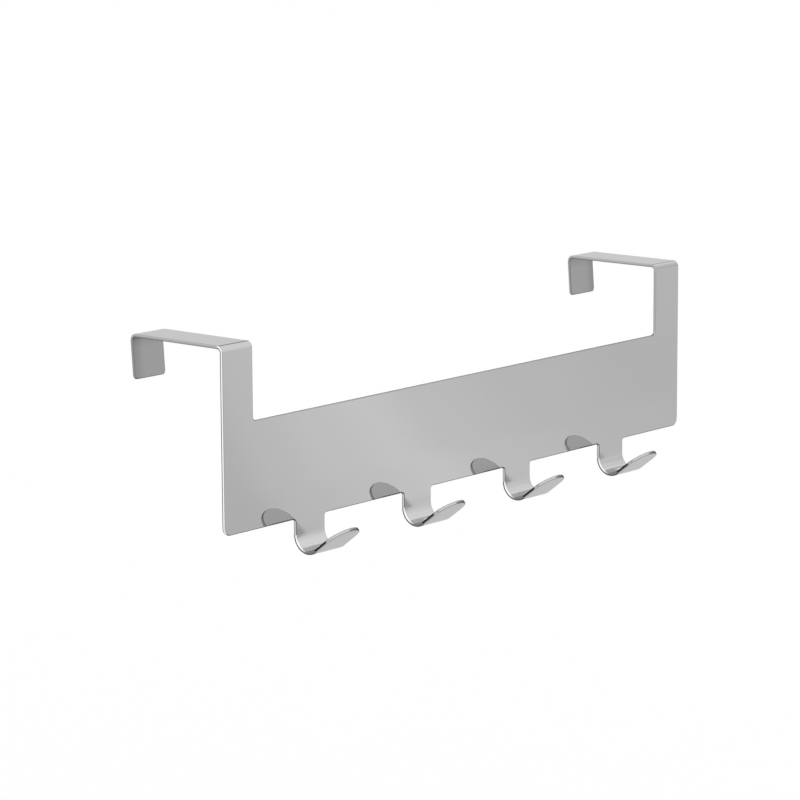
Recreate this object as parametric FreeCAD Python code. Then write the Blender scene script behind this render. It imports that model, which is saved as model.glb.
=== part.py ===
import FreeCAD, Part
import os
from math import cos, pi, radians, sin
from FreeCAD import Rotation, Vector

# An over-door hook rail: one sheet of polished stainless steel, stamped out and folded.
#
# A flat band carries an upright at each end. The uprights fold back over the door's top edge and
# end in short lips behind the door. The hooks are tongues of the same sheet, folded forward and
# up from the band's bottom edge, each with a rounded tip.
#
# Millimetres. X runs along the band, +Y goes from the room into the door and +Z is up. The origin
# is the centre of the band's back face, which lies against the door.

# The sheet
sheet = 1.2                  # thickness
edge_break = 0.2             # chamfer that deburring leaves along every cut edge

# The band
band_length = 270.0
band_height = 39.5
band_corner_radius = 3.0     # the two bottom corners

# The brackets, one at each end
door_thickness = 40.0
door_play = 3.0              # room between the door and the top of a lip
bracket_width = 15.5
bracket_rise = 28.8          # from the band's top edge to the top of the arm
bracket_fold_radius = 1.2    # inside radius of the two folds
notch_radius = 1.6           # inner corner where an upright leaves the band
lip_run = 14.2               # flat part of the lip, below its fold
lip_lean = 4.0               # degrees past square, towards the door
lip_corner_radius = 1.5

# The hooks
hook_count = 4
hook_pitch = 60.0
hook_width = 15.5
hook_root_radius = 1.2       # corner where a hook leaves the band
hook_drop = 5.8              # straight run below the band
hook_fold_radius = 5.4       # inside radius of the fold
hook_turn = 127.5            # degrees turned, from straight down to the slope of the tip
tip_run = 14.0               # flat part of the tip, after the fold
tip_taper = 7.0              # length over which the tip narrows to its rounded end

# Levels and places that follow from these sizes
door_gap = door_thickness + door_play
band_top = band_height / 2
band_bottom = -band_height / 2
arm_top = band_top + bracket_rise
first_fold = arm_top - sheet - bracket_fold_radius
arm_run = door_gap - 2 * bracket_fold_radius
bracket_centre = (band_length - bracket_width) / 2
notch_half = band_length / 2 - bracket_width
root_radius = min(hook_root_radius, hook_drop / 2)
chamfer = min(edge_break, sheet / 4)
hook_centres = [(k - (hook_count - 1) / 2) * hook_pitch for k in range(hook_count)]


class Outline:
    """A closed outline in a flat blank: straight edges and round corners, drawn one after another."""

    def __init__(self, x, y):
        self.first = self.last = Vector(x, y, 0)
        self.edges = []

    def line_to(self, x, y):
        end = Vector(x, y, 0)
        self.edges.append(Part.LineSegment(self.last, end).toShape())
        self.last = end

    def corner(self, centre_x, centre_y, x, y):
        """A quarter circle about the centre, to the point given."""
        centre = Vector(centre_x, centre_y, 0)
        end = Vector(x, y, 0)
        radius = (end - centre).Length
        middle = centre + ((self.last + end) * 0.5 - centre).normalize() * radius
        self.edges.append(Part.Arc(self.last, middle, end).toShape())
        self.last = end

    def round_end(self, rise):
        """Half an ellipse that closes the outline's far end, rise ahead of the last point."""
        half = abs(self.last.x)
        centre = Vector(0, self.last.y, 0)
        side = Vector(half, self.last.y, 0)
        nose = Vector(0, self.last.y + rise, 0)
        if rise > half:
            arc = Part.Ellipse(nose, side, centre).toShape(-pi / 2, pi / 2)
        else:
            arc = Part.Ellipse(side, nose, centre).toShape(0, pi)
        self.edges.append(arc)
        self.last = Vector(-half, self.last.y, 0)

    def face(self):
        if (self.last - self.first).Length > 1e-6:
            self.line_to(self.first.x, self.first.y)
        return Part.Face(Part.Wire(self.edges))


class Strip:
    """Side view of a strip of the sheet, walked along its middle in the YZ plane."""

    def __init__(self, y, z, heading):
        self.middle = Vector(0, y, z)
        self.heading = heading           # degrees: 0 points to +Y, 90 to +Z
        self.start = self.skins()
        self.left_skin = []
        self.right_skin = []

    def along(self):
        return Vector(0, cos(radians(self.heading)), sin(radians(self.heading)))

    def to_left(self):
        return Vector(0, -sin(radians(self.heading)), cos(radians(self.heading)))

    def skins(self):
        """The points on the left and the right skin, square to the middle line."""
        half = self.to_left() * (sheet / 2)
        return self.middle + half, self.middle - half

    def run(self, length):
        left, right = self.skins()
        self.middle = self.middle + self.along() * length
        left_end, right_end = self.skins()
        self.left_skin.append(Part.LineSegment(left, left_end).toShape())
        self.right_skin.append(Part.LineSegment(right, right_end).toShape())

    def fold_right(self, inside_radius, angle):
        """A fold about a centre on the right-hand side, turning by the angle in degrees."""
        radius = inside_radius + sheet / 2
        centre = self.middle - self.to_left() * radius
        stations = [self.skins()]
        for _ in range(2):
            self.heading -= angle / 2
            self.middle = centre + self.to_left() * radius
            stations.append(self.skins())
        left, right = zip(*stations)
        self.left_skin.append(Part.Arc(*left).toShape())
        self.right_skin.append(Part.Arc(*right).toShape())

    def solid(self, x_centre, width):
        """What has been walked so far, at the width given."""
        left_end, right_end = self.skins()
        far_cap = Part.LineSegment(left_end, right_end).toShape()
        near_cap = Part.LineSegment(self.start[1], self.start[0]).toShape()
        section = Part.Wire(self.left_skin + [far_cap] + self.right_skin[::-1] + [near_cap])
        section.translate(Vector(x_centre - width / 2, 0, 0))
        return Part.Face(section).extrude(Vector(width, 0, 0))

    def flat(self, outline, x_centre):
        """A flat panel that carries the strip on: outline X runs across it, outline Y along it."""
        panel = outline.face().extrude(Vector(0, 0, sheet))
        corner = self.skins()[1] + Vector(x_centre, 0, 0)
        panel.Placement = FreeCAD.Placement(corner, Rotation(Vector(1, 0, 0), self.heading))
        return panel


def band_outline():
    """The band with its uprights, and the root of each hook down to its round corners."""
    side = band_length / 2
    corner = band_corner_radius
    root_end = band_bottom - root_radius
    outline = Outline(-side, band_bottom + corner)
    outline.corner(-side + corner, band_bottom + corner, -side + corner, band_bottom)
    for centre in hook_centres:
        left = centre - hook_width / 2
        right = centre + hook_width / 2
        outline.line_to(left - root_radius, band_bottom)
        outline.corner(left - root_radius, root_end, left, root_end)
        outline.line_to(right, root_end)
        outline.corner(right + root_radius, root_end, right + root_radius, band_bottom)
    outline.line_to(side - corner, band_bottom)
    outline.corner(side - corner, band_bottom + corner, side, band_bottom + corner)
    outline.line_to(side, first_fold)
    outline.line_to(notch_half, first_fold)
    outline.line_to(notch_half, band_top + notch_radius)
    inner = notch_half - notch_radius
    outline.corner(inner, band_top + notch_radius, inner, band_top)
    outline.line_to(-inner, band_top)
    outline.corner(-inner, band_top + notch_radius, -notch_half, band_top + notch_radius)
    outline.line_to(-notch_half, first_fold)
    outline.line_to(-side, first_fold)
    return outline


def lip_outline():
    half = bracket_width / 2
    corner = min(lip_corner_radius, lip_run)
    outline = Outline(-half, 0)
    outline.line_to(half, 0)
    outline.line_to(half, lip_run - corner)
    outline.corner(half - corner, lip_run - corner, half - corner, lip_run)
    outline.line_to(corner - half, lip_run)
    outline.corner(corner - half, lip_run - corner, -half, lip_run - corner)
    return outline


def tip_outline():
    half = hook_width / 2
    taper = min(tip_taper, tip_run)
    outline = Outline(-half, 0)
    outline.line_to(half, 0)
    outline.line_to(half, tip_run - taper)
    outline.round_end(taper)
    return outline


def bracket(centre):
    """Up from the band, back over the door and down behind it."""
    strip = Strip(-sheet / 2, first_fold, 90)
    strip.fold_right(bracket_fold_radius, 90)
    strip.run(arm_run)
    strip.fold_right(bracket_fold_radius, 90 + lip_lean)
    return [strip.solid(centre, bracket_width), strip.flat(lip_outline(), centre)]


def hook(centre):
    """Down from the band, then forward and up to the tip."""
    strip = Strip(-sheet / 2, band_bottom - root_radius, -90)
    strip.run(hook_drop - root_radius)
    strip.fold_right(hook_fold_radius, hook_turn)
    return [strip.solid(centre, hook_width), strip.flat(tip_outline(), centre)]


def is_sharp(edge, solid):
    """True where two faces meet at a corner, and not where they run smoothly into each other."""
    middle = edge.valueAt((edge.FirstParameter + edge.LastParameter) / 2)
    faces = solid.ancestorsOfType(edge, Part.Face)
    normals = [face.normalAt(*face.Surface.parameter(middle)) for face in faces]
    return normals[0].getAngle(normals[-1]) > radians(45)


def hook_rail():
    band = Strip(-sheet / 2, 0, 90).flat(band_outline(), 0)
    folded = []
    for centre in (-bracket_centre, bracket_centre):
        folded += bracket(centre)
    for centre in hook_centres:
        folded += hook(centre)
    rail = band.fuse(folded).removeSplitter().Solids[0]
    return rail.makeChamfer(chamfer, [edge for edge in rail.Edges if is_sharp(edge, rail)])


os.makedirs("parts", exist_ok=True)
rail = hook_rail()
rail.exportStep("parts/hook_rail.step")
box = rail.optimalBoundingBox()
print("hook_rail: %.1f x %.1f x %.1f mm" % (box.XLength, box.YLength, box.ZLength),
      "volume %.0f mm3, valid" % rail.Volume, rail.isValid())
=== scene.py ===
# %% [markdown]
# An over-door hook rack is one strip of polished stainless steel, stamped out flat and then folded.
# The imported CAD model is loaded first. It fixes the frame: metres, X along the band, +Y into the
# door, +Z up, and the origin in the middle of the band's back face. Everything below is modelled in
# that frame, so nothing has to be fitted afterwards.

# %% Load the frame
from math import cos, degrees, radians, sin, tan

import bmesh
import bpy
from mathutils import Matrix, Quaternion, Vector


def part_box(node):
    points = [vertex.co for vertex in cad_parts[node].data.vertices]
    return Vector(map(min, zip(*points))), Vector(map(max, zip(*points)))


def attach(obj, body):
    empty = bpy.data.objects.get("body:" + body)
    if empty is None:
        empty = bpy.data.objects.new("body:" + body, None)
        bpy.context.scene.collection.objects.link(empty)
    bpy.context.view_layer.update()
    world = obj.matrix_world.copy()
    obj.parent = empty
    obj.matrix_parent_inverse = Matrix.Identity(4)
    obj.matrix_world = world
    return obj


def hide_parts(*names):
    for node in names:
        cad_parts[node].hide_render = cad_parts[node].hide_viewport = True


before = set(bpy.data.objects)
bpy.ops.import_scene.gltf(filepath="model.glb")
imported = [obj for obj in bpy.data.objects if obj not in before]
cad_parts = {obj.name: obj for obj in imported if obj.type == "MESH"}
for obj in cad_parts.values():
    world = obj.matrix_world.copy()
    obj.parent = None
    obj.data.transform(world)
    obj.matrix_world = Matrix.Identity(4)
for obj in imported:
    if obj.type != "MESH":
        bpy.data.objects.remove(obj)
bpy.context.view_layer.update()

low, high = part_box("hook_rail")
print("CAD rail from", [round(v, 5) for v in low], "to", [round(v, 5) for v in high])

# %% [markdown]
# The long measures come from the frame. The smaller ones are the sheet's own: how thick it is, how
# tightly it is folded and how wide the tongues are. Keeping them in one cell makes every later step
# a short sentence in these words.

# %% Sizes in metres
mm = 0.001
sheet = 1.2 * mm
band_length = high.x - low.x
band_height = 39.5 * mm
band_corner_radius = 3.0 * mm
bracket_width = 15.5 * mm
bracket_fold_radius = 1.2 * mm
notch_radius = 1.6 * mm
lip_run = 14.2 * mm
lip_lean = 4.0
lip_corner_radius = 1.5 * mm
hook_count = 4
hook_pitch = 60 * mm
hook_centres = [(number - (hook_count - 1) / 2) * hook_pitch for number in range(hook_count)]
hook_width = 15.5 * mm
hook_root_radius = 1.2 * mm
hook_drop = 5.8 * mm
hook_fold_radius = 5.4 * mm
hook_turn = 127.5
tip_run = 14.0 * mm
tip_taper = 7.0 * mm

arm_top = high.z
door_gap = high.y - sheet
band_top = band_height / 2
band_bottom = -band_height / 2
first_fold = arm_top - sheet - bracket_fold_radius
arm_run = door_gap - 2 * bracket_fold_radius
bracket_centre = (band_length - bracket_width) / 2
notch_half = band_length / 2 - bracket_width
print("gap over the door %.1f mm, arms %.1f mm long" % (door_gap / mm, arm_run / mm))

# %% [markdown]
# Box modelling by hand means: select some faces or edges, then pull, turn or round them. The
# helpers below do the selecting by place, so the steps can be read as they would be clicked.
# Everything is deselected first, because the loaded CAD pieces arrive selected.

# %% Helpers for selecting by place
def only(piece):
    """Makes the piece the one selected and active object."""
    bpy.ops.object.select_all(action="DESELECT")
    piece.select_set(True)
    bpy.context.view_layer.objects.active = piece


def edit(piece, kind):
    """Opens the piece for editing its faces or edges, with nothing selected."""
    only(piece)
    bpy.ops.object.mode_set(mode="EDIT")
    bpy.ops.mesh.select_mode(type=kind)
    bpy.ops.mesh.select_all(action="DESELECT")


def done():
    """Ends the editing."""
    bpy.ops.object.mode_set(mode="OBJECT")


def choose_faces(piece, wanted):
    """Selects the faces for which wanted(face, middle) holds, and returns how many there are."""
    bpy.ops.mesh.select_all(action="DESELECT")
    mesh = bmesh.from_edit_mesh(piece.data)
    mesh.normal_update()
    chosen = [face for face in mesh.faces if wanted(face, face.calc_center_median())]
    for face in chosen:
        face.select_set(True)
    bmesh.update_edit_mesh(piece.data)
    return len(chosen)


def choose_edges(piece, wanted):
    """Selects the edges for which wanted(one end, other end) holds, and returns how many."""
    bpy.ops.mesh.select_all(action="DESELECT")
    mesh = bmesh.from_edit_mesh(piece.data)
    chosen = [edge for edge in mesh.edges if wanted(edge.verts[0].co, edge.verts[1].co)]
    for edge in chosen:
        edge.select_set(True)
    bmesh.update_edit_mesh(piece.data)
    return len(chosen)


tolerance = 0.01 * mm


def near(a, b):
    """True where two places are the same but for rounding."""
    return abs(a - b) < tolerance


# %% [markdown]
# The band begins as a block as thick as the sheet. It is cut across at the sides of every tongue,
# so that the uprights can be pulled up from its top and the hook roots down from its bottom. The
# cuts then dissolve again, which leaves one clean outline on the front and on the back. A mirror
# finish needs that: stray vertices in a flat face would bend its reflections.

# %% The flat band
bpy.ops.object.select_all(action="DESELECT")
bpy.ops.mesh.primitive_cube_add(size=1, location=(0, -sheet / 2, 0),
                                scale=(band_length, sheet, band_height))
band = bpy.context.object
band.name = "polished_rail"
bpy.ops.object.transform_apply(location=True, rotation=True, scale=True)

edit(band, "FACE")
cuts = [-notch_half, notch_half]
for centre in hook_centres:
    cuts += [centre - hook_width / 2, centre + hook_width / 2]
for x in cuts:
    bpy.ops.mesh.select_all(action="SELECT")
    bpy.ops.mesh.bisect(plane_co=(x, 0, 0), plane_no=(1, 0, 0))

choose_faces(band, lambda face, middle: face.normal.z > 0.9 and abs(middle.x) > notch_half)
bpy.ops.mesh.extrude_region_move(TRANSFORM_OT_translate={"value": (0, 0, first_fold - band_top)})
choose_faces(band, lambda face, middle: face.normal.z < -0.9
             and min(abs(middle.x - centre) for centre in hook_centres) < hook_width / 4)
bpy.ops.mesh.extrude_region_move(TRANSFORM_OT_translate={"value": (0, 0, -hook_drop)})
bpy.ops.mesh.select_all(action="SELECT")
bpy.ops.mesh.dissolve_limited(angle_limit=radians(1))
done()
print("band outline:", len(band.data.vertices) // 2, "corners")

# %% [markdown]
# The punch leaves round corners: large ones at the band's two bottom ends, small ones inside the
# notches and where each hook leaves the band. Each is an edge that runs through the sheet, and a
# bevel with several segments rounds it, whether the corner points outwards or inwards.

# %% Rounded outline corners
def round_chosen(radius, segments):
    """Rounds the selected edges."""
    bpy.ops.mesh.bevel(offset=radius, segments=segments, profile=0.5, affect="EDGES",
                       clamp_overlap=False)


def round_corners(piece, radius, segments, at):
    """Rounds the edges that run through the sheet where at(x, z) holds."""
    edit(piece, "EDGE")
    count = choose_edges(piece, lambda a, b: near(a.x, b.x) and near(a.z, b.z)
                         and not near(a.y, b.y) and at(a.x, a.z))
    round_chosen(radius, segments)
    done()
    print("rounded", count, "corners to %.1f mm" % (radius / mm))


round_corners(band, band_corner_radius, segments=10,
              at=lambda x, z: near(abs(x), band_length / 2) and near(z, band_bottom))
round_corners(band, notch_radius, segments=8,
              at=lambda x, z: near(abs(x), notch_half) and near(z, band_top))
round_corners(band, hook_root_radius, segments=6,
              at=lambda x, z: near(z, band_bottom)
              and any(near(abs(x - centre), hook_width / 2) for centre in hook_centres))

# %% [markdown]
# A folded strip is a short rectangle, as wide as the tongue and as thick as the sheet, that is
# swept along its way: spun round the fold's centre line, pulled straight, and spun again. This is
# what the press brake does to the real one, and it keeps the thickness the same all along.

# %% Sweeping a strip
def start_strip(name, x, z, width):
    """The cross-section of a tongue, lying flat at height z where the band ends."""
    bpy.ops.object.select_all(action="DESELECT")
    bpy.ops.mesh.primitive_plane_add(size=1, location=(x, -sheet / 2, z))
    piece = bpy.context.object
    piece.name = name
    piece.scale = (width, sheet, 1)
    bpy.ops.object.transform_apply(location=True, rotation=True, scale=True)
    edit(piece, "FACE")
    bpy.ops.mesh.select_all(action="SELECT")
    return piece


def fold(centre, angle, steps):
    """Spins the selected end of a strip about a line along X, through the centre given."""
    bpy.ops.mesh.spin(steps=steps, angle=radians(angle), center=centre, axis=(1, 0, 0))


def pull(direction, length):
    """Draws the selected end of a strip straight out."""
    bpy.ops.mesh.extrude_region_move(TRANSFORM_OT_translate={"value": direction * length})


def drop_first_face(piece, z):
    """Opens the strip's near end, where it will be welded to the band."""
    count = choose_faces(piece, lambda face, middle: near(middle.z, z) and abs(face.normal.z) > 0.9
                         and near(middle.y, -sheet / 2))
    bpy.ops.mesh.delete(type="FACE")
    return count


# %% [markdown]
# A bracket goes up, folds back over the door's top edge, and folds down again into a short lip.
# The second fold goes a little past square, so the lip springs against the door. One bracket is
# modelled, at the right-hand end, and copied to the left.

# %% One bracket
bracket_steps = 12
rear_fold_y = bracket_fold_radius + arm_run
lip_way = Vector((0, -sin(radians(lip_lean)), -cos(radians(lip_lean))))

bracket = start_strip("bracket", bracket_centre, first_fold, bracket_width)
fold((bracket_centre, bracket_fold_radius, first_fold), 90, bracket_steps)
pull(Vector((0, 1, 0)), arm_run)
fold((bracket_centre, rear_fold_y, first_fold), 90 + lip_lean, bracket_steps)
pull(lip_way, lip_run)
opened = drop_first_face(bracket, first_fold)

lip_end = min(vertex.co.z for vertex in bmesh.from_edit_mesh(bracket.data).verts)
just_above_end = lip_end + 0.2 * mm
bpy.ops.mesh.select_mode(type="EDGE")
corners = choose_edges(bracket, lambda a, b: near(a.x, b.x) and max(a.z, b.z) < just_above_end)
round_chosen(lip_corner_radius, segments=8)
done()
print("bracket: opened", opened, "face, rounded", corners, "lip corners")
print("the lip ends at z %.1f mm" % (lip_end / mm))

# %% [markdown]
# A hook drops from the band and folds forward and up through about 127 degrees. It is swept as the
# bracket is, and stops where its tip starts to narrow. That end is left open for the nose.

# %% One hook
hook_start = band_bottom - hook_drop
fold_centre = Vector((hook_centres[0], -sheet - hook_fold_radius, hook_start))
tip_heading = radians(270 - hook_turn)
tip_way = Vector((0, cos(tip_heading), sin(tip_heading)))
tip_side = Vector((0, -tip_way.z, tip_way.y))
tip_start = fold_centre + tip_side * hook_fold_radius
straight = tip_run - tip_taper
bend_steps = 32

hook = start_strip("hook", hook_centres[0], hook_start, hook_width)
fold(fold_centre, hook_turn, bend_steps)
pull(tip_way, straight)
hook_mesh = bmesh.from_edit_mesh(hook.data)
end_corners = [vertex.co for vertex in hook_mesh.verts if vertex.select]
nose_root = sum(end_corners, Vector()) / len(end_corners)
choose_faces(hook, lambda face, middle: (middle - nose_root).length < tolerance)
bpy.ops.mesh.delete(type="FACE")
drop_first_face(hook, hook_start)
done()
print("tip turned to %.1f degrees above level, nose starts at" % (180 - degrees(tip_heading)),
      [round(v / mm, 2) for v in nose_root])

# %% [markdown]
# The tip ends in a rounded nose. It is half of a flat, slightly stretched disc, set against the end
# of the swept strip, because a disc gives a truer curve than cutting corners would.

# %% The rounded nose of a hook
nose_points = 72
bpy.ops.object.select_all(action="DESELECT")
bpy.ops.mesh.primitive_cylinder_add(vertices=nose_points, radius=1, depth=sheet)
nose = bpy.context.object
nose.scale = (hook_width / 2, tip_taper, 1)
bpy.ops.object.transform_apply(location=True, rotation=True, scale=True)
edit(nose, "FACE")
bpy.ops.mesh.select_all(action="SELECT")
bpy.ops.mesh.bisect(plane_co=(0, 0, 0), plane_no=(0, 1, 0), clear_inner=True, threshold=tolerance)
done()
nose.rotation_euler = (tip_heading, 0, 0)
nose.location = nose_root
bpy.ops.object.transform_apply(location=True, rotation=True, scale=True)
nose.select_set(True)
hook.select_set(True)
bpy.context.view_layer.objects.active = hook
bpy.ops.object.join()
print("hook with its nose:", len(hook.data.polygons), "faces")

# %% [markdown]
# The other three hooks and the left bracket are copies, each with a mesh of its own. All pieces are
# then joined, and the vertices that meet are merged. The result must be one closed shell: an edge
# with one face, or with three, would show as a crack or a dark seam in a mirror finish.

# %% Copies, and one closed shell
def copy_of(piece, shift):
    """A copy with a mesh of its own, moved by the shift."""
    twin = piece.copy()
    twin.data = piece.data.copy()
    twin.data.transform(Matrix.Translation(shift))
    bpy.context.scene.collection.objects.link(twin)
    return twin


tongues = [bracket, copy_of(bracket, (-2 * bracket_centre, 0, 0)), hook]
tongues += [copy_of(hook, (centre - hook_centres[0], 0, 0)) for centre in hook_centres[1:]]

edit(band, "FACE")
choose_faces(band, lambda face, middle: abs(face.normal.z) > 0.9
             and (near(middle.z, first_fold) or near(middle.z, hook_start)))
bpy.ops.mesh.delete(type="FACE")
done()
only(band)
for tongue in tongues:
    tongue.select_set(True)
bpy.ops.object.join()
rail = bpy.context.object

edit(rail, "FACE")
bpy.ops.mesh.select_all(action="SELECT")
bpy.ops.mesh.remove_doubles(threshold=0.02 * mm)
bpy.ops.mesh.normals_make_consistent(inside=False)
shell = bmesh.from_edit_mesh(rail.data)
open_edges = [edge for edge in shell.edges if not edge.is_manifold]
print("rail:", len(shell.faces), "faces, open edges", len(open_edges),
      "volume %.0f mm3" % (shell.calc_volume() / mm ** 3))
done()

# %% [markdown]
# Polished steel is nearly a mirror, so its colour is mostly what it reflects. Every finish on this
# sheet shares faint lengthwise buffing lines, a little haze and a slow change of tone. Those go into
# one node group, and each finish then only says how much of each it has.

# %% The buffed steel group and its sockets
def add_node(tree, kind, at, **values):
    """A new shader node, with its place in the editor and its settings."""
    node = tree.nodes.new(kind)
    node.location = at
    for name, value in values.items():
        setattr(node, name, value)
    return node


buffed = bpy.data.node_groups.new("Buffed steel", "ShaderNodeTree")
amount, colour = "NodeSocketFloat", "NodeSocketColor"
takes = (("Colour", colour, (0.5, 0.5, 0.5, 1)), ("Tone change", amount, 0.02),
         ("Roughness", amount, 0.03), ("Haze", amount, 0.02), ("Line depth", amount, 0.5))
for name, kind, value in takes:
    socket = buffed.interface.new_socket(name=name, in_out="INPUT", socket_type=kind)
    socket.default_value = value
for name, kind in (("Colour", colour), ("Roughness", amount), ("Height", amount)):
    buffed.interface.new_socket(name=name, in_out="OUTPUT", socket_type=kind)
group_in = add_node(buffed, "NodeGroupInput", (-900, 0))
group_out = add_node(buffed, "NodeGroupOutput", (600, 0))
print("group", buffed.name, "takes", [name for name, kind, value in takes])

# %% [markdown]
# Two noises carry the pattern. One is squeezed hard across the band, so that its spots become long,
# fine lines. The other stays round and coarse, and drifts over the steel like slow clouds.

# %% Lines and clouds
line_squeeze = (30, 900, 900)
place = add_node(buffed, "ShaderNodeTexCoord", (-900, -300))
squeezed = add_node(buffed, "ShaderNodeMapping", (-700, -300))
squeezed.inputs["Scale"].default_value = line_squeeze
lines = add_node(buffed, "ShaderNodeTexNoise", (-500, -300))
lines.inputs["Scale"].default_value = 4.0
lines.inputs["Detail"].default_value = 3.0
clouds = add_node(buffed, "ShaderNodeTexNoise", (-500, -600))
clouds.inputs["Scale"].default_value = 28.0
clouds.inputs["Detail"].default_value = 2.0
buffed.links.new(place.outputs["Object"], squeezed.inputs["Vector"])
buffed.links.new(squeezed.outputs["Vector"], lines.inputs["Vector"])
buffed.links.new(place.outputs["Object"], clouds.inputs["Vector"])
print("lines are %d times longer than wide" % (line_squeeze[1] / line_squeeze[0]))

# %% [markdown]
# The clouds are centred on 0 and scaled by the tone change, and one plus that multiplies the
# colour. Scaled by the haze, they add to the roughness. The lines become a height, which each
# material's own bump turns into normals.

# %% What the group puts out
centred = add_node(buffed, "ShaderNodeMath", (-300, -600), operation="SUBTRACT")
centred.inputs[1].default_value = 0.5
change = add_node(buffed, "ShaderNodeMath", (-100, -600), operation="MULTIPLY_ADD")
change.inputs[2].default_value = 1.0
tinted = add_node(buffed, "ShaderNodeVectorMath", (300, 100), operation="SCALE")
buffed.links.new(clouds.outputs["Fac"], centred.inputs[0])
buffed.links.new(centred.outputs[0], change.inputs[0])
buffed.links.new(group_in.outputs["Tone change"], change.inputs[1])
buffed.links.new(group_in.outputs["Colour"], tinted.inputs[0])
buffed.links.new(change.outputs[0], tinted.inputs["Scale"])
buffed.links.new(tinted.outputs["Vector"], group_out.inputs["Colour"])

hazed = add_node(buffed, "ShaderNodeMath", (100, -200), operation="MULTIPLY_ADD")
buffed.links.new(clouds.outputs["Fac"], hazed.inputs[0])
buffed.links.new(group_in.outputs["Haze"], hazed.inputs[1])
buffed.links.new(group_in.outputs["Roughness"], hazed.inputs[2])
buffed.links.new(hazed.outputs[0], group_out.inputs["Roughness"])

raised = add_node(buffed, "ShaderNodeMath", (100, -400), operation="MULTIPLY")
buffed.links.new(lines.outputs["Fac"], raised.inputs[0])
buffed.links.new(group_in.outputs["Line depth"], raised.inputs[1])
buffed.links.new(raised.outputs[0], group_out.inputs["Height"])
print("group", buffed.name, "with", len(buffed.nodes), "nodes")

# %% [markdown]
# Each finish is a Principled shader at full Metallic. The front skin is buffed and is the smoothest,
# so the hooks mirror clearly in the band. The back keeps its duller mill finish, and after the
# folds it faces the room inside the lips and on the underside of the tips. A specular tint under
# white keeps a metal from turning white where it is seen at a flat angle.

# %% Finishes of the two skins
steel_cast = (1.0, 0.998, 1.002)
line_height = 0.02 * mm


def steel(name, grey, tint, tone_change, roughness, haze, bump):
    """A finish of the rail. Returns the number of its material slot."""
    material = bpy.data.materials.new(name)
    material.use_nodes = True
    tree = material.node_tree
    shader = tree.nodes["Principled BSDF"]
    shader.inputs["Metallic"].default_value = 1.0
    shader.inputs["Specular Tint"].default_value = (tint, tint, tint, 1)
    shared = add_node(tree, "ShaderNodeGroup", (-400, 200), node_tree=buffed)
    shared.inputs["Colour"].default_value = [grey * part for part in steel_cast] + [1]
    shared.inputs["Tone change"].default_value = tone_change
    shared.inputs["Roughness"].default_value = roughness
    shared.inputs["Haze"].default_value = haze
    relief = add_node(tree, "ShaderNodeBump", (-200, -100))
    relief.inputs["Strength"].default_value = bump
    relief.inputs["Distance"].default_value = line_height
    tree.links.new(shared.outputs["Colour"], shader.inputs["Base Color"])
    tree.links.new(shared.outputs["Roughness"], shader.inputs["Roughness"])
    tree.links.new(shared.outputs["Height"], relief.inputs["Height"])
    tree.links.new(relief.outputs["Normal"], shader.inputs["Normal"])
    rail.data.materials.append(material)
    return len(rail.data.materials) - 1


def tree_of(slot):
    """The node tree of the finish in that slot."""
    return rail.data.materials[slot].node_tree


front_skin = steel("polished front", grey=0.545, tint=0.78, tone_change=0.04,
                   roughness=0.015, haze=0.03, bump=0.05)
back_skin = steel("mill finish back", grey=0.38, tint=0.85, tone_change=0.12,
                  roughness=0.10, haze=0.10, bump=0.10)
print("skins:", [material.name for material in rail.data.materials])

# %% [markdown]
# The band isn't quite flat. Folding the hooks pulls its lowest centimetre round by about two
# degrees, and in a mirror two degrees are plain to see: the image of each hook swells into a round
# disc. So small a bend is best drawn in the normals. A bump whose height grows steadily downwards
# tips them all by the same angle, and a smooth maximum eases it in.

# %% The bow along the lower edge
bow_start = -9 * mm
bow_eased_over = 6 * mm
bow_angle = 2.1


def place_parts(tree, at):
    """The X, Y and Z of the place being shaded."""
    spot = add_node(tree, "ShaderNodeTexCoord", at)
    apart = add_node(tree, "ShaderNodeSeparateXYZ", (at[0] + 200, at[1]))
    tree.links.new(spot.outputs["Object"], apart.inputs[0])
    return apart.outputs


def bow(tree, starts_at, eased_over, angle):
    """Tips the normals below a level by an angle in degrees."""
    below = add_node(tree, "ShaderNodeMath", (-1000, -400), operation="SUBTRACT")
    below.inputs[0].default_value = starts_at
    eased = add_node(tree, "ShaderNodeMath", (-800, -400), operation="SMOOTH_MAX")
    eased.inputs[1].default_value = 0.0
    eased.inputs[2].default_value = eased_over
    drawn = add_node(tree, "ShaderNodeBump", (-600, -400), invert=True)
    drawn.inputs["Strength"].default_value = 1.0
    drawn.inputs["Distance"].default_value = tan(radians(angle))
    tree.links.new(place_parts(tree, (-1400, -400))["Z"], below.inputs[1])
    tree.links.new(below.outputs[0], eased.inputs[0])
    tree.links.new(eased.outputs[0], drawn.inputs["Height"])
    tree.links.new(drawn.outputs["Normal"], tree.nodes["Bump"].inputs["Normal"])


bow(tree_of(front_skin), bow_start, bow_eased_over, bow_angle)
print("bow of %.1f degrees from z %.0f mm down" % (bow_angle, bow_start / mm))

# %% [markdown]
# A finish also changes from place to place on the rack. Each change is a mask, which is a smooth
# step along one coordinate. Masks are multiplied where both must hold, and added where either may,
# and the sum then scales the colour that the group puts out.

# %% Masks by place
def step(tree, source, begin, end, value, at):
    """Rises smoothly from 0 at begin to the value at end."""
    ramp = add_node(tree, "ShaderNodeMapRange", at, interpolation_type="SMOOTHSTEP")
    ramp.inputs["From Min"].default_value = begin
    ramp.inputs["From Max"].default_value = end
    ramp.inputs["To Max"].default_value = value
    tree.links.new(source, ramp.inputs["Value"])
    return ramp.outputs["Result"]


def combine(tree, operation, first, second, at):
    """Adds, multiplies or otherwise joins two values."""
    node = add_node(tree, "ShaderNodeMath", at, operation=operation)
    tree.links.new(first, node.inputs[0])
    tree.links.new(second, node.inputs[1])
    return node.outputs[0]


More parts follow.
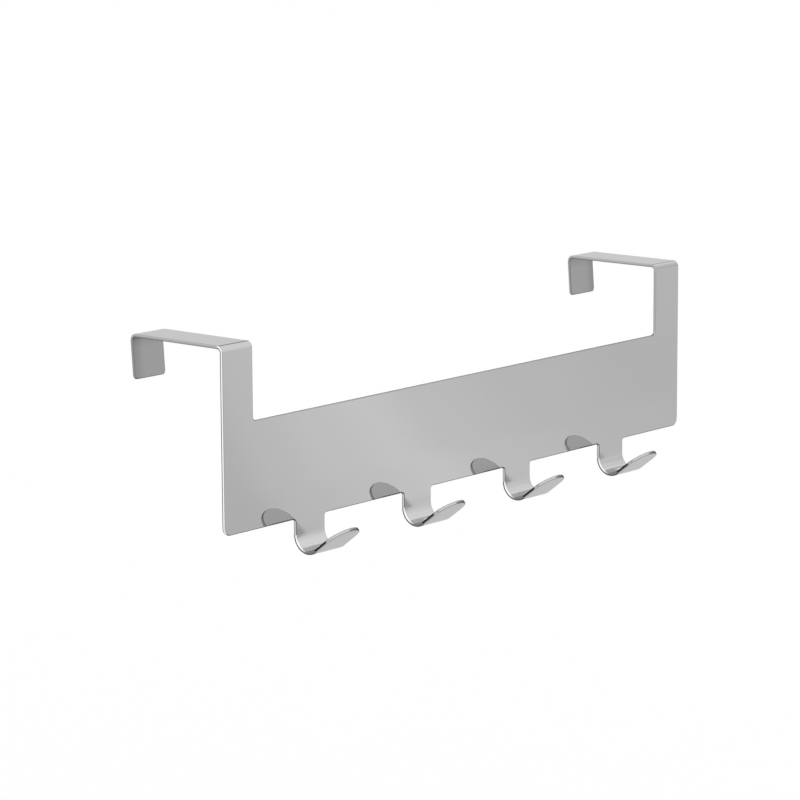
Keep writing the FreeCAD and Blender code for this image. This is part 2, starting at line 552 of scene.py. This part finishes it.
def retone(tree, change):
    """Multiplies a finish's colour by one plus the change."""
    factor = add_node(tree, "ShaderNodeMath", (-400, 600), operation="ADD")
    factor.inputs[1].default_value = 1.0
    toned = add_node(tree, "ShaderNodeVectorMath", (-200, 500), operation="SCALE")
    tree.links.new(change, factor.inputs[0])
    tree.links.new(tree.nodes["Group"].outputs["Colour"], toned.inputs[0])
    tree.links.new(factor.outputs[0], toned.inputs["Scale"])
    tree.links.new(toned.outputs["Vector"], tree.nodes["Principled BSDF"].inputs["Base Color"])


# %% [markdown]
# On the left of each hook, the lowest half millimetre of the band's front is painted darker: a
# painted reflection of the dark below, which reads as a thin dark line. One mask serves all four
# hooks: the place along the band is wrapped to one pitch. Past the last hook the place is held
# still, so no fifth line appears.

# %% The painted dark line on the left of each hook
dark_line_length = 15 * mm
dark_line_eased_over = 5.5 * mm


def left_of_hooks(tree, x, at):
    """1 along the stretch of the band on the left of each hook, and 0 elsewhere."""
    root = hook_pitch / 2 - hook_width / 2 - hook_root_radius
    start = root - dark_line_length
    held = add_node(tree, "ShaderNodeMath", at, operation="MINIMUM")
    held.inputs[1].default_value = hook_centres[-1] + hook_pitch / 3
    wrapped = add_node(tree, "ShaderNodeMath", (at[0] + 150, at[1]), operation="WRAP")
    wrapped.inputs[1].default_value = hook_pitch
    wrapped.inputs[2].default_value = 0.0
    tree.links.new(x, held.inputs[0])
    tree.links.new(held.outputs[0], wrapped.inputs[0])
    along = wrapped.outputs[0]
    begun = step(tree, along, start, start + dark_line_eased_over, 1.0, (at[0] + 300, at[1]))
    not_over = step(tree, along, root + 0.7 * mm, root - 0.5 * mm, 1.0, (at[0] + 300, at[1] + 300))
    return combine(tree, "MULTIPLY", begun, not_over, (at[0] + 450, at[1] + 100))


print("painted dark line of %.0f mm on the left of %d hooks" % (dark_line_length / mm, hook_count))

# %% [markdown]
# Folding works the front skin, which leaves the folds a little rougher. Its colour is also a little
# paler on the hooks, and brighter still at the bottom of a hook's bend.

# %% The front skin from place to place
bend_bottom = hook_start - hook_fold_radius
tree = tree_of(front_skin)
parts = place_parts(tree, (-1400, -800))
x, z = parts["X"], parts["Z"]

paler = step(tree, z, hook_start + 1 * mm, hook_start - 1.5 * mm, 0.10, (-1000, 500))
# Painted reflection of the dark below: a thin dark line low on the band, left of each hook.
low_down = step(tree, z, band_bottom + 0.75 * mm, band_bottom + 0.35 * mm, -0.65, (-1000, 800))
painted_dark_reflection = combine(tree, "MULTIPLY", left_of_hooks(tree, x, (-1300, 1100)), low_down, (-700, 900))
bend_bottom_brighter = step(tree, z, bend_bottom + 1 * mm, bend_bottom + 0.2 * mm, 0.20, (-1000, 300))
toned = combine(tree, "ADD", paler, painted_dark_reflection, (-600, 700))
retone(tree, combine(tree, "ADD", toned, bend_bottom_brighter, (-500, 700)))

in_hooks = step(tree, z, band_bottom, band_bottom - hook_drop, 0.16, (-1000, -700))
in_brackets = step(tree, z, first_fold - 2 * mm, arm_top, 0.10, (-1000, -1000))
added = combine(tree, "ADD", in_hooks, in_brackets, (-800, -800))
total = combine(tree, "ADD", added, tree.nodes["Group"].outputs["Roughness"], (-600, -800))
tree.links.new(total, tree.nodes["Principled BSDF"].inputs["Roughness"])
print("front skin has", len(tree.nodes), "nodes")

# %% [markdown]
# The mill finish at the back has painted shade inside the brackets' folds and towards the rack's
# two ends, and its colour is a little paler on the hooks.

# %% The back skin from place to place
end_shade = 6 * mm
tree = tree_of(back_skin)
parts = place_parts(tree, (-1400, 600))
x, z = parts["X"], parts["Z"]

from_middle = add_node(tree, "ShaderNodeMath", (-1000, 500), operation="ABSOLUTE")
tree.links.new(x, from_middle.inputs[0])
side = band_length / 2
# Painted shade: darker towards the rack's two ends and inside the brackets' folds.
painted_shade_at_ends = step(tree, from_middle.outputs[0], side - end_shade, side, -0.20, (-800, 500))
painted_shade_in_folds = step(tree, z, first_fold - 4 * mm, first_fold + 1 * mm, -0.17, (-800, 800))
in_hooks = step(tree, z, band_bottom, hook_start, 0.14, (-800, 1100))
darker = combine(tree, "ADD", painted_shade_at_ends, painted_shade_in_folds, (-600, 700))
retone(tree, combine(tree, "ADD", darker, in_hooks, (-500, 900)))
print("back skin has", len(tree.nodes), "nodes")

# %% [markdown]
# A sheared edge isn't one finish. From the front skin to the back it has a rolled corner, a bright
# band that the punch burnished, and a dark, torn band with a burr. A colour ramp across the sheet
# draws all of them, and on some stretches it also carries painted light: white zones that are
# painted highlights, and near-black zones that are painted reflections of dark things. The ramp
# needs to know how deep in the sheet a place lies. That is stored on the mesh later, as an
# attribute named depth: 0 on the front skin, 1 on the back.

# %% Finishes of the cut edges
def fill_ramp(ramp, stops):
    """Sets a colour ramp's greys from pairs of place and grey."""
    elements = ramp.color_ramp.elements
    for number, (place, grey) in enumerate(stops):
        if number > 1:
            elements.new(place)
        elements[number].position = place
        elements[number].color = (grey, grey, grey, 1)


def across(tree, zones, at):
    """A grey that follows the zones through the sheet's thickness."""
    depth = add_node(tree, "ShaderNodeAttribute", (at[0] - 200, at[1]), attribute_name="depth")
    ramp = add_node(tree, "ShaderNodeValToRGB", at)
    fill_ramp(ramp, zones)
    tree.links.new(depth.outputs["Fac"], ramp.inputs["Fac"])
    return ramp.outputs["Color"]


def sheared(name, tint, zones):
    """A cut edge's finish. Its zones take the place of the one grey of a skin."""
    slot = steel(name, grey=0.4, tint=tint, tone_change=0.10, roughness=0.12, haze=0.10, bump=0.20)
    tree = tree_of(slot)
    tree.links.new(across(tree, zones, (-800, 300)), tree.nodes["Group"].inputs["Colour"])
    return slot


plain_edge = sheared("plain sheared edge", 0.45,
                     [(0.0, 0.42), (0.3, 0.46), (0.7, 0.34), (0.85, 0.18), (1.0, 0.14)])
# Painted dark reflection: a thin dark outline along the front corner.
side_outline_edge = sheared("right-hand edge with painted dark outline", 0.20,
                    [(0.0, 0.15), (0.2, 0.15), (0.28, 0.75), (0.5, 0.75), (0.65, 0.20), (1.0, 0.10)])
# Painted dark reflection: a thin dark outline along the front corner.
lower_outline_edge = sheared("lower edge", 0.10,
                     [(0.0, 0.06), (0.22, 0.06), (0.3, 0.50), (0.55, 0.50), (0.7, 0.20), (1.0, 0.10)])
# Painted highlight: the white band down the band's left end.
left_end_highlight = sheared("left end's edge with painted highlight", 0.80,
                   [(0.0, 0.30), (0.04, 0.50), (0.12, 1.0), (0.45, 1.0), (0.60, 0.12), (1.0, 0.03)])
lip_edge = sheared("lip's edge", 0.40, [(0.0, 0.34), (0.5, 0.31), (1.0, 0.27)])
drop_edge = sheared("drop's edge", 0.50,
                    [(0.0, 0.20), (0.15, 0.28), (0.28, 0.65), (0.58, 0.65), (0.72, 0.08), (1.0, 0.02)])
# Painted highlight: the white front corner in a hook's bend.
bend_highlight_edge = sheared("bend's edge with painted highlight", 0.70,
                    [(0.0, 1.0), (0.28, 1.0), (0.46, 0.35), (0.6, 0.05), (1.0, 0.02)])
# Painted reflection of dark: the black along the straight of a tip.
tip_dark_edge = sheared("tip's edge with painted black reflection", 0.10,
                   [(0.0, 0.25), (0.05, 0.015), (0.60, 0.015), (0.80, 0.30), (1.0, 0.45)])
nose_end = sheared("nose's far end", 0.30, [(0.0, 0.45), (0.4, 0.38), (0.6, 0.25), (1.0, 0.17)])
print("edges:", [material.name for material in rail.data.materials][plain_edge:])

# %% [markdown]
# Two of these stretches don't keep their zones from end to end. The painted highlight in a hook's
# bend fades out half way round it, and the painted black on a tip lies along its straight part alone
# and gives way to a pale nose. Each mixes in a second set of zones through a mask by place.

# %% Zones that fade
def fade_to(slot, zones, source, begin, end):
    """Mixes other zones into an edge's finish as the source value goes from begin to end."""
    tree = tree_of(slot)
    mixed = add_node(tree, "ShaderNodeMix", (-600, 500), data_type="RGBA")
    tree.links.new(step(tree, source, begin, end, 1.0, (-1000, 700)), mixed.inputs["Factor"])
    tree.links.new(tree.nodes["Color Ramp"].outputs["Color"], mixed.inputs["A"])
    tree.links.new(across(tree, zones, (-1000, 1000)), mixed.inputs["B"])
    tree.links.new(mixed.outputs["Result"], tree.nodes["Group"].inputs["Colour"])


faded_bend = [(0.0, 0.27), (0.4, 0.17), (1.0, 0.08)]
pale_nose = [(0.0, 0.12), (0.12, 0.18), (0.22, 0.56), (0.7, 0.50), (1.0, 0.42)]

y = place_parts(tree_of(bend_highlight_edge), (-1400, 700))["Y"]
fade_to(bend_highlight_edge, faded_bend, y, fold_centre.y + 2.8 * mm, fold_centre.y + 0.1 * mm)

tree = tree_of(tip_dark_edge)
half_straight = abs(tip_way.y) * straight / 2
off_middle = add_node(tree, "ShaderNodeMath", (-1300, 700), operation="ADD")
off_middle.inputs[1].default_value = half_straight - tip_start.y
either_way = add_node(tree, "ShaderNodeMath", (-1150, 700), operation="ABSOLUTE")
tree.links.new(place_parts(tree, (-1700, 700))["Y"], off_middle.inputs[0])
tree.links.new(off_middle.outputs[0], either_way.inputs[0])
fade_to(tip_dark_edge, pale_nose, either_way.outputs[0], 0.95 * half_straight, 1.35 * half_straight)
print("black on a tip for about %.1f mm" % (straight / mm))

# %% [markdown]
# The finishes are given out by place. A face that spans the sheet's thickness is a cut edge: it has
# an edge exactly as long as the sheet is thick. The sheet's back is the band's side to the door,
# what looks into a bracket's U, and what looks away from the middle of a hook's fold.

# %% Which faces are which
def give(piece, slot, wanted):
    """Puts the finish in that slot on the faces for which wanted(face, middle) holds."""
    edit(piece, "FACE")
    count = choose_faces(piece, wanted)
    piece.active_material_index = slot
    bpy.ops.object.material_slot_assign()
    done()
    print(piece.data.materials[slot].name, "on", count, "faces")


def is_cut(face):
    """True for a face that spans the sheet's thickness."""
    return any(near(edge.calc_length(), sheet) for edge in face.edges)


def in_hook(middle):
    """True in a hook's bend and on its tip."""
    return middle.z < hook_start or middle.y < -2 * sheet


def leans_back(face, middle):
    """True for a face that looks to the sheet's back rather than to its front."""
    if middle.z > first_fold or middle.y > sheet:
        inside = Vector((middle.x, door_gap / 2, first_fold - 5 * mm))
        return face.normal.dot(inside - middle) > 0
    if in_hook(middle):
        centre = Vector((middle.x, fold_centre.y, fold_centre.z))
        return face.normal.dot(middle - centre) > 0
    return face.normal.y > 0


give(rail, back_skin, lambda face, middle: not is_cut(face) and leans_back(face, middle))
give(rail, plain_edge, lambda face, middle: is_cut(face))

# %% [markdown]
# Tumbling rounds every cut edge a little. A bevel limited by angle finds them all, because nothing
# else on the sheet turns by more than sixty degrees, and the faces it makes count as cut edge too.
# Weighted normals then keep the flats optically flat right up to the rounding.

# %% Rounded corners all along the cut edges
only(rail)
bpy.ops.object.shade_smooth()
edge_round = 0.28 * mm
rounding = rail.modifiers.new("Rounded cut edges", "BEVEL")
rounding.width = edge_round
rounding.segments = 4
rounding.limit_method = "ANGLE"
rounding.angle_limit = radians(60)
rounding.use_clamp_overlap = False
rounding.material = plain_edge
bpy.ops.object.modifier_apply(modifier=rounding.name)
even = rail.modifiers.new("Even normals", "WEIGHTED_NORMAL")
even.mode = "FACE_AREA"
even.weight = 50
bpy.ops.object.modifier_apply(modifier=even.name)
print("rail now has", len(rail.data.polygons), "faces")

# %% [markdown]
# The depth in the sheet follows from the folds. Around a fold it is the distance from the fold's
# axis. Before and after the fold the sheet is flat, and the distance is measured square to it. Each
# of the three kinds of fold looks after the flats next to it.

# %% How deep in the sheet each vertex lies
def off_fold(place, axis, near_side, near_way, far_side, far_way):
    """Distance from a fold's axis. Sides point from the axis to the flats, and ways run along them."""
    arm = Vector((0, place.y - axis[0], place.z - axis[1]))
    if arm.dot(near_side) > 0 and arm.dot(near_way) < 0:
        return arm.dot(near_side)
    if arm.dot(far_side) > 0 and arm.dot(far_way) > 0:
        return arm.dot(far_side)
    return arm.length


room_way, door_way = Vector((0, -1, 0)), Vector((0, 1, 0))
up, down = Vector((0, 0, 1)), Vector((0, 0, -1))
lip_side = Vector((0, cos(radians(lip_lean)), -sin(radians(lip_lean))))


def depth_in_sheet(place):
    """0 on the front skin, 1 on the back skin."""
    if place.z < 0:
        axis = (fold_centre.y, fold_centre.z)
        reach = off_fold(place, axis, door_way, down, tip_side, tip_way)
        return (reach - hook_fold_radius) / sheet
    if place.y < door_gap / 2:
        axis = (bracket_fold_radius, first_fold)
        reach = off_fold(place, axis, room_way, up, up, door_way)
    else:
        axis = (rear_fold_y, first_fold)
        reach = off_fold(place, axis, up, door_way, lip_side, lip_way)
    return 1 - (reach - bracket_fold_radius) / sheet


depths = [depth_in_sheet(vertex.co) for vertex in rail.data.vertices]
rail.data.attributes.new("depth", "FLOAT", "POINT").data.foreach_set("value", depths)
print("depth in the sheet from %.3f to %.3f" % (min(depths), max(depths)))

# %% [markdown]
# With the depth in place, each stretch of the cut edge takes its own zones: a painted highlight
# down the band's left end and round its fold, mixed zones on the hooks' drops, a painted highlight
# in their bends, and painted black, a reflection of dark things, along the straight of a tip.
# Right-hand and lower edges hide their burnished band from the front, and show only a painted dark
# reflection in front of it, as a thin outline.

# %% Which stretch of the cut edge is which
left_end_width = 1.1 * mm


def is_edge(face):
    """True for a cut edge that has no finish of its own yet."""
    return face.material_index == plain_edge


def tip_way_run(middle):
    """How far along its tip a place lies. It is below 0 before the tip starts."""
    if middle.y > fold_centre.y:
        return -1
    return Vector((0, middle.y - tip_start.y, middle.z - tip_start.z)).dot(tip_way)


def at_nose_end(face, middle):
    """True near a nose's foremost point, except on what looks to the left."""
    return tip_way_run(middle) > straight + 0.9 * tip_taper and face.normal.x > -0.15


def on_left_end(middle):
    """True on the left edge of the band and its upright, up to the front fold."""
    return middle.x < left_end_width - band_length / 2 and middle.y < bracket_fold_radius


def on_lip(middle):
    """True on a lip below its fold."""
    return middle.y > door_gap - 2 * sheet and middle.z < first_fold


root_middle = band_bottom - hook_root_radius / 2
stretches = ((nose_end, at_nose_end),
             (side_outline_edge, lambda face, middle: face.normal.x > 0.1),
             (lower_outline_edge, lambda face, middle: on_lip(middle) and face.normal.z < -0.4),
             (lip_edge, lambda face, middle: on_lip(middle)),
             (left_end_highlight, lambda face, middle: on_left_end(middle)),
             (tip_dark_edge, lambda face, middle: tip_way_run(middle) > 0),
             (bend_highlight_edge, lambda face, middle: middle.z < hook_start),
             (drop_edge, lambda face, middle: middle.z < root_middle),
             (lower_outline_edge, lambda face, middle: middle.z < 0 and face.normal.z < -0.1))
for slot, belongs in stretches:
    give(rail, slot, lambda face, middle: is_edge(face) and belongs(face, middle))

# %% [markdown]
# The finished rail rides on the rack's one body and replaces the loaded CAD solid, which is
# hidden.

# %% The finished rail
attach(rail, "root")
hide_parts("hook_rail")
print("rail:", len(rail.data.vertices), "vertices,", len(rail.data.materials), "finishes")

# %% [markdown]
# The rack hangs free against white. A pale paper floor lies 0.3 m below the band's middle. It ends
# 1.9 m in front of the band, behind the camera.

# %% Floor
floor_level = -0.30
floor_size = 12.0
floor_front = -1.9
bpy.ops.object.select_all(action="DESELECT")
bpy.ops.mesh.primitive_plane_add(size=floor_size,
                                 location=(0, floor_front + floor_size / 2, floor_level))
floor = bpy.context.object
floor.name = "floor"
bpy.ops.object.transform_apply(location=True, rotation=True, scale=True)
paper = bpy.data.materials.new("white paper floor")
paper.use_nodes = True
paper_tree = paper.node_tree
paper_shader = paper_tree.nodes["Principled BSDF"]
paper_shader.inputs["Roughness"].default_value = 0.9
paper_shader.inputs["Specular IOR Level"].default_value = 0.0
floor.data.materials.append(paper)
print("floor at %.2f m, its front edge at %.1f m" % (floor_level, floor_front))

# %% [markdown]
# The band mirrors the floor in front of it, so the floor's tone draws the band's. That tone is
# painted light and shade: seen along a level direction, a painted pale strip of light peaks 0.15 m
# out and sinks to a painted light grey shade beyond. That is the soft bright place left of the
# band's middle. From half a metre in front of the band the floor rises to nearly white just behind
# it, because there it is the background. The paper is slightly cool.

# %% Painted light and shade on the floor
painted_strip_way = (0.743, 0.669, 0)
painted_light_tones = [(0.00, 0.71), (0.05, 0.81), (0.10, 0.87), (0.15, 0.92), (0.205, 0.84), (0.31, 0.78),
               (0.44, 0.74), (0.57, 0.76)]
white_from, white_past = -0.5, 0.1
paper_white = 0.92
cool_cast = (1.0, 1.0, 1.014)

where = add_node(paper_tree, "ShaderNodeTexCoord", (-1200, 200))
distance = add_node(paper_tree, "ShaderNodeVectorMath", (-1000, 200), operation="DOT_PRODUCT")
distance.inputs[1].default_value = painted_strip_way
# Painted light and shade: the strip's greys draw a pool of light on the paper.
strip = add_node(paper_tree, "ShaderNodeValToRGB", (-800, 200))
strip.color_ramp.interpolation = "EASE"
fill_ramp(strip, painted_light_tones)
paper_tree.links.new(where.outputs["Object"], distance.inputs[0])
paper_tree.links.new(distance.outputs["Value"], strip.inputs["Fac"])

from_front = place_parts(paper_tree, (-1200, 0))["Y"]
behind = step(paper_tree, from_front, white_from, white_past, paper_white, (-600, 0))
palest = combine(paper_tree, "MAXIMUM", strip.outputs["Color"], behind, (-400, 100))
cool = add_node(paper_tree, "ShaderNodeVectorMath", (-200, 100), operation="SCALE")
cool.inputs[0].default_value = cool_cast
paper_tree.links.new(palest, cool.inputs["Scale"])
paper_tree.links.new(cool.outputs["Vector"], paper_shader.inputs["Base Color"])
print("floor tones from", min(tone for out, tone in painted_light_tones), "to", paper_white)

# %% [markdown]
# The light is soft and comes from all round. It is a little dimmer from ten degrees under the
# horizon downwards and rises to its full level at twenty-two degrees above it.

# %% Surrounding light
low_light, full_light = 0.85, 1.12
low_angle, full_angle = -10, 22

world = bpy.data.worlds.new("soft studio")
bpy.context.scene.world = world
world.use_nodes = True
sky = world.node_tree
background = sky.nodes["Background"]
background.inputs["Color"].default_value = (1, 1, 1, 1)
direction = add_node(sky, "ShaderNodeTexCoord", (-1200, 0))
height = add_node(sky, "ShaderNodeSeparateXYZ", (-1000, 0))
rise = add_node(sky, "ShaderNodeMapRange", (-800, 0), interpolation_type="SMOOTHSTEP")
rise.inputs["From Min"].default_value = sin(radians(low_angle))
rise.inputs["From Max"].default_value = sin(radians(full_angle))
rise.inputs["To Min"].default_value = low_light
rise.inputs["To Max"].default_value = full_light
sky.links.new(direction.outputs["Generated"], height.inputs[0])
sky.links.new(height.outputs["Z"], rise.inputs["Value"])
print("light from %.2f to %.2f" % (low_light, full_light))

# %% [markdown]
# A mirror finish also needs something darker to show, or its folds vanish. Three soft gaps in the
# light do that. The first lies behind the rack and draws the dark line along the left bracket's
# front fold. It is cut off low down, because the arms mirror what lies there. The other two are in
# front, on the right, and shade the right bracket's front fold.

# %% Soft gaps in the light
def gap_towards(way, widest, darkest, depth, row):
    """A round soft gap in the light, from its widest angle in degrees to its darkest."""
    towards = add_node(sky, "ShaderNodeVectorMath", (-1000, row), operation="DOT_PRODUCT")
    towards.inputs[1].default_value = Vector(way).normalized()
    sky.links.new(direction.outputs["Generated"], towards.inputs[0])
    begin, end = cos(radians(widest)), cos(radians(darkest))
    return step(sky, towards.outputs["Value"], begin, end, depth, (-800, row))


behind_rack = gap_towards((0.657, 0.613, 0.438), widest=18, darkest=9, depth=-0.75, row=-300)
cut_from, cut_to = sin(radians(13)), sin(radians(18))
above_arms = step(sky, height.outputs["Z"], cut_from, cut_to, 1.0, (-800, -600))
behind_rack = combine(sky, "MULTIPLY", behind_rack, above_arms, (-600, -400))
front_right = gap_towards((0.90, -0.40, 0.20), widest=19, darkest=5, depth=-0.44, row=-900)
high_right = gap_towards((0.88, -0.22, 0.44), widest=16, darkest=5, depth=-0.27, row=-1200)

gaps = combine(sky, "ADD", behind_rack, front_right, (-500, -600))
gaps = combine(sky, "ADD", gaps, high_right, (-400, -700))
level = combine(sky, "ADD", rise.outputs["Result"], gaps, (-500, -100))
sky.links.new(level, background.inputs["Strength"])
print("light has", len(sky.nodes), "nodes")

# %% [markdown]
# The camera stands in front and to the left of the rack, a little above it, with a long lens, so
# the far end is only slightly smaller than the near one.

# %% Camera
camera_azimuth = 49.205
camera_drop = 10.511
camera_roll = 0.334
camera_distance = 1.26324
focal_length = 152.47
aim = Vector((-0.03845, 0.0, 0.01548))
forward = Vector((sin(radians(camera_azimuth)) * cos(radians(camera_drop)),
                  cos(radians(camera_azimuth)) * cos(radians(camera_drop)),
                  -sin(radians(camera_drop))))
lens = bpy.data.cameras.new("camera")
lens.sensor_width = 36.0
lens.lens = focal_length
lens.clip_end = 50
camera = bpy.data.objects.new("camera", lens)
bpy.context.scene.collection.objects.link(camera)
camera.location = aim - forward * camera_distance
level_view = forward.to_track_quat("-Z", "Y")
camera.rotation_euler = (level_view @ Quaternion((0, 0, 1), -radians(camera_roll))).to_euler()
bpy.context.scene.camera = camera
bpy.context.view_layer.update()
print("camera right", [round(v, 5) for v in camera.matrix_world.to_3x3().col[0]])

# %% [markdown]
# The Standard view shows each colour as it was mixed.

# %% Picture settings
bpy.context.scene.view_settings.view_transform = "Standard"
